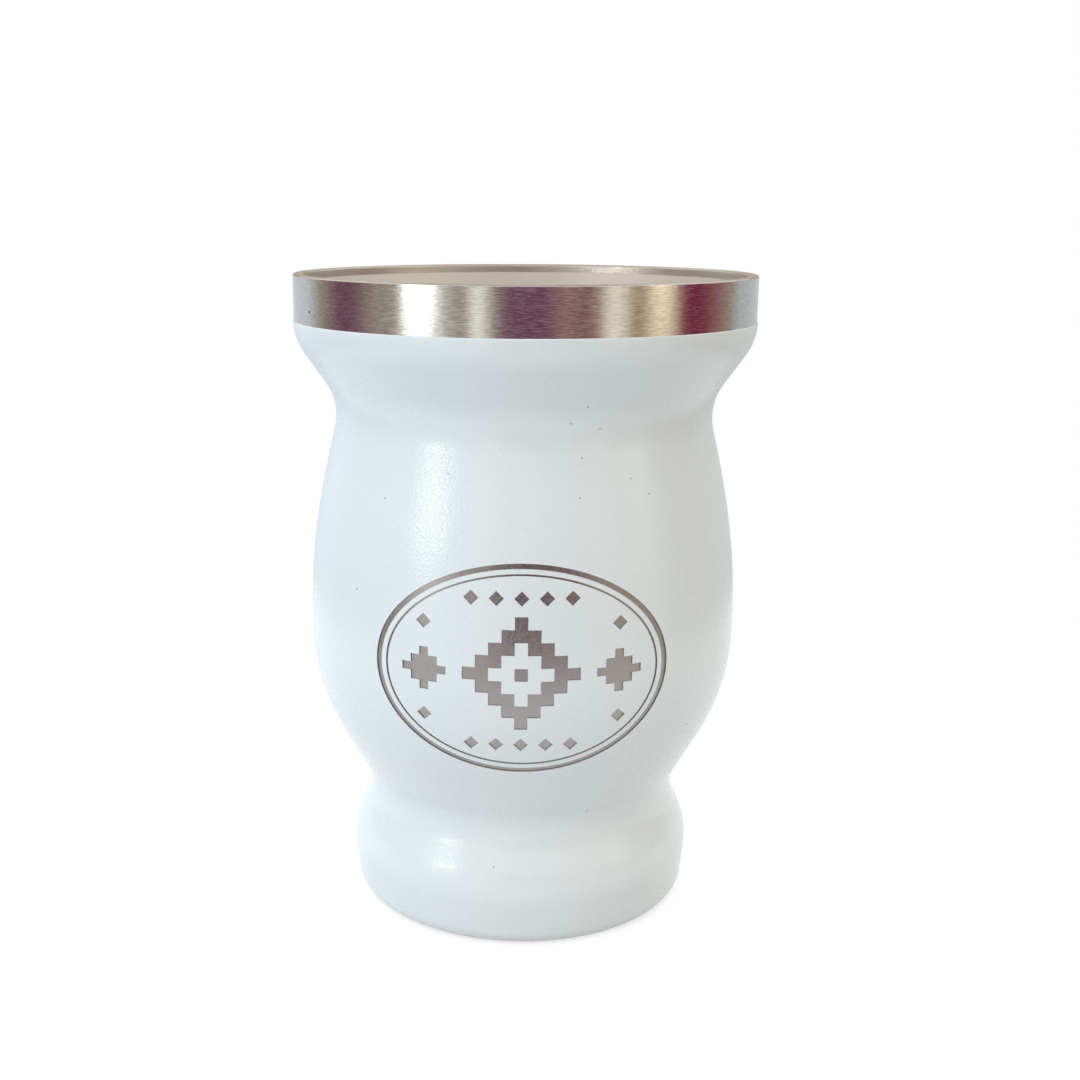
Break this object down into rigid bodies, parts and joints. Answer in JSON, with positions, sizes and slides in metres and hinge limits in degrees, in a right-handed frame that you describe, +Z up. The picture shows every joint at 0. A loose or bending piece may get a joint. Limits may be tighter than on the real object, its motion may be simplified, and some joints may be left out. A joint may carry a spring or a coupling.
{
  "type": "double-wall mate cup",
  "caption": "Double-wall steel mate cup: gourd-shaped coated body on a flared foot, bare brushed rim band, rolled lip, recessed base and an oval ornament engraved through the coat.",
  "frame": {"origin": "centre of the standing ring, on the surface that the cup stands on", "axes": "+Z up along the cup's axis; the engraved ornament faces -Y"},
  "size_m": [0.0844, 0.0844, 0.118],
  "materials": {
    "shell_steel": "bare stainless steel, brushed round the rim; darker where a laser has burnt the coat away",
    "cup_steel": "bare stainless steel, fine satin inside",
    "base_steel": "bare stainless steel, pressed and satin",
    "white_coat": "white powder coat, satin with a very fine orange peel"
  },
  "bodies": {
    "root": {"outer_shell": "shell_steel", "inner_cup": "cup_steel", "base_plate": "base_steel", "powder_coat": "white_coat"}
  },
  "joints": []
}
